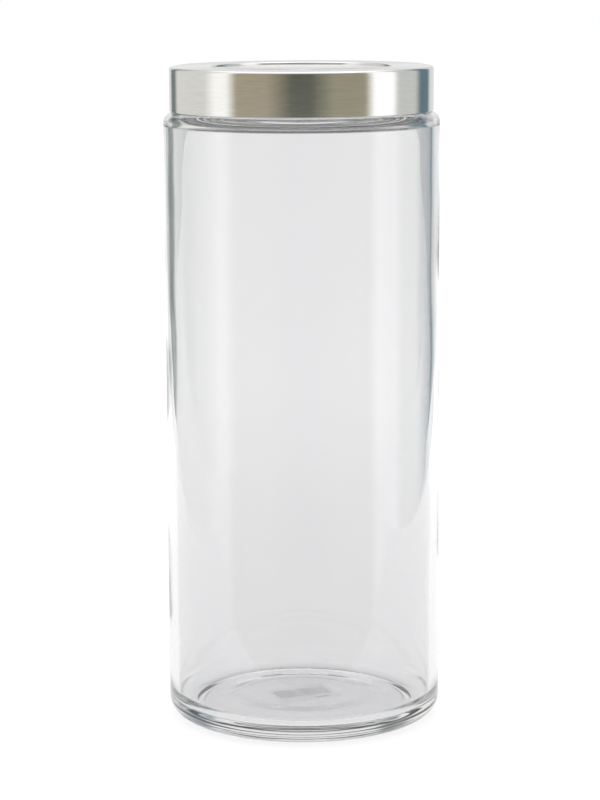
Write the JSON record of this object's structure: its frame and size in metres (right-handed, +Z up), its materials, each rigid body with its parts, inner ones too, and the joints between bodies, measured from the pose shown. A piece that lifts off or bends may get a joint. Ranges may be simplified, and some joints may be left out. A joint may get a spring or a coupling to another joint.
{
  "type": "lidded glass canister",
  "caption": "Tall straight-sided glass storage canister with a quarter-turn lid: brushed steel cover, window in the top, moulded liner with lugs, and a soft seal.",
  "frame": {"origin": "centre of the bearing ring that the jar stands on, in the plane of the table", "axes": "+Z up along the axis of the jar and the lid; -Y towards the viewer in the main view, with the label's long side along X"},
  "size_m": [0.108, 0.108, 0.2584],
  "materials": {
    "jar_glass": "pressed clear soda-lime glass, fire-polished",
    "label": "pale printed sticker",
    "seal": "matt translucent silicone",
    "liner": "moulded white polypropylene",
    "window": "clear moulded plastic, polished",
    "cover": "stainless steel, brushed round the side"
  },
  "bodies": {
    "jar": {"glass_jar": "jar_glass", "base_label": "label"},
    "seal": {"lid_seal": "seal"},
    "lid": {"lid_liner": "liner", "lid_window": "window", "lid_cover": "cover"}
  },
  "joints": [
    {"name": "lid_lift", "type": "slide", "parent": "jar", "child": "seal", "axis": [0, 0, 1], "range_m": [0, 0.08]},
    {"name": "lid_turn", "type": "hinge", "parent": "seal", "child": "lid", "pos_m": [0, 0, 0.25], "axis": [0, 0, 1], "range_deg": [-49.5, 0]}
  ]
}
